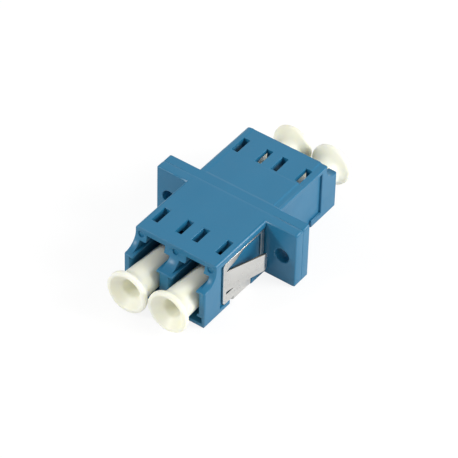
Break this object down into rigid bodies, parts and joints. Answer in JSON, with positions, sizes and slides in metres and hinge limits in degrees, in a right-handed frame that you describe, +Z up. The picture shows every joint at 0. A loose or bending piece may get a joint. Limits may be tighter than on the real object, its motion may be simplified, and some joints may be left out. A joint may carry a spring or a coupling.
{
  "type": "lc fibre adapter",
  "caption": "Duplex LC fibre adapter with a screw flange, a spring clip for panel mounting and pull-out dust caps.",
  "frame": {"origin": "under the middle of the adapter, on the plane it rests on, at the weld between the housing halves", "axes": "+Y along the fibres towards the rear ports, +X along the flange to the right seen from the front, +Z up"},
  "size_m": [0.0222, 0.0371, 0.009],
  "materials": {
    "housing": "satin moulded blue plastic",
    "sleeve": "polished zirconia",
    "clip": "satin stainless spring sheet",
    "cap": "natural translucent plastic"
  },
  "bodies": {
    "adapter": {"front_housing": "housing", "rear_housing": "housing", "left_sleeve": "sleeve", "right_sleeve": "sleeve", "panel_clip": "clip"},
    "front_left_cap": {"front_left_cap": "cap"},
    "front_right_cap": {"front_right_cap": "cap"},
    "rear_left_cap": {"rear_left_cap": "cap"},
    "rear_right_cap": {"rear_right_cap": "cap"}
  },
  "joints": [
    {"name": "front_left_pull", "type": "slide", "parent": "adapter", "child": "front_left_cap", "axis": [0, -1, 0], "range_m": [0, 0.01]},
    {"name": "front_right_pull", "type": "slide", "parent": "adapter", "child": "front_right_cap", "axis": [0, -1, 0], "range_m": [0, 0.01]},
    {"name": "rear_left_pull", "type": "slide", "parent": "adapter", "child": "rear_left_cap", "axis": [0, 1, 0], "range_m": [0, 0.01]},
    {"name": "rear_right_pull", "type": "slide", "parent": "adapter", "child": "rear_right_cap", "axis": [0, 1, 0], "range_m": [0, 0.01]}
  ]
}
